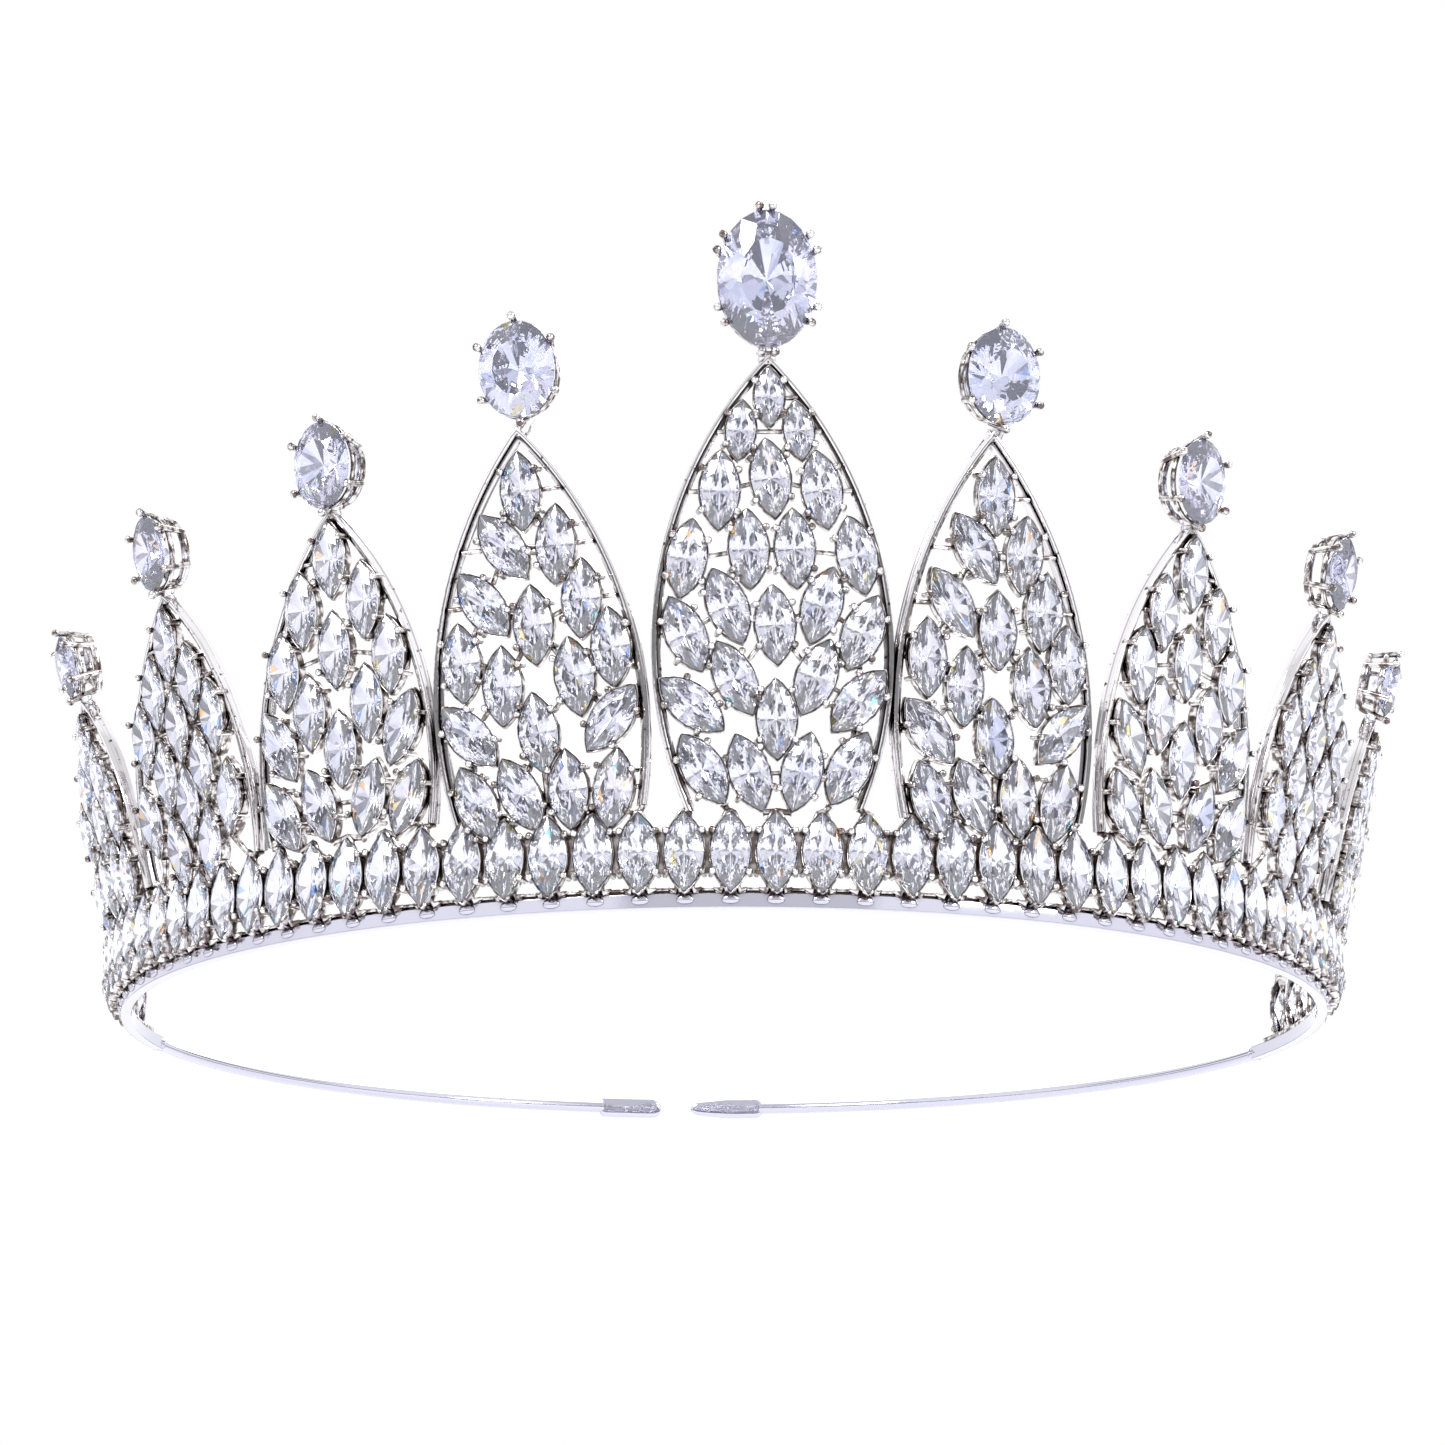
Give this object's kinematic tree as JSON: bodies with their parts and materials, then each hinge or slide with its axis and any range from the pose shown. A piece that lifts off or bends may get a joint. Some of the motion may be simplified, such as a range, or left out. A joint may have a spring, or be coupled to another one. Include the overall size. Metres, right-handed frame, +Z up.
{
  "type": "bridal tiara",
  "caption": "Spring headband with an upright row of marquise stones and tall pointed arches filled with stones, each topped by an oval stone in a pronged basket.",
  "frame": {"origin": "centre of the headband's circle, on the flat underside of the band", "axes": "+Z up towards the points of the arches, -Y is the front of the tiara, +X to the right of somebody who looks at the front"},
  "size_m": [0.1518, 0.147, 0.0701],
  "materials": {
    "polished_metal": "bright polished rhodium plate",
    "setting_metal": "bright rhodium plate on cast settings",
    "marquise_stone": "clear faceted stone with a faint lilac tint",
    "oval_stone": "clear faceted stone"
  },
  "bodies": {
    "root": {"headband": "polished_metal", "left_tip": "polished_metal", "right_tip": "polished_metal", "base_rail": "polished_metal", "base_settings": "setting_metal", "base_stones": "marquise_stone", "centre_frame": "polished_metal", "centre_settings": "setting_metal", "centre_stones": "marquise_stone", "centre_basket": "setting_metal", "centre_oval_stone": "oval_stone", "left1_frame": "polished_metal", "left1_settings": "setting_metal", "left1_stones": "marquise_stone", "left1_basket": "setting_metal", "left1_oval_stone": "oval_stone", "right1_frame": "polished_metal", "right1_settings": "setting_metal", "right1_stones": "marquise_stone", "right1_basket": "setting_metal", "right1_oval_stone": "oval_stone", "left2_frame": "polished_metal", "left2_settings": "setting_metal", "left2_stones": "marquise_stone", "left2_basket": "setting_metal", "left2_oval_stone": "oval_stone", "right2_frame": "polished_metal", "right2_settings": "setting_metal", "right2_stones": "marquise_stone", "right2_basket": "setting_metal", "right2_oval_stone": "oval_stone", "left3_frame": "polished_metal", "left3_settings": "setting_metal", "left3_stones": "marquise_stone", "left3_basket": "setting_metal", "left3_oval_stone": "oval_stone", "right3_frame": "polished_metal", "right3_settings": "setting_metal", "right3_stones": "marquise_stone", "right3_basket": "setting_metal", "right3_oval_stone": "oval_stone", "left4_frame": "polished_metal", "left4_settings": "setting_metal", "left4_stones": "marquise_stone", "left4_basket": "setting_metal", "left4_oval_stone": "oval_stone", "right4_frame": "polished_metal", "right4_settings": "setting_metal", "right4_stones": "marquise_stone", "right4_basket": "setting_metal", "right4_oval_stone": "oval_stone"}
  },
  "joints": []
}
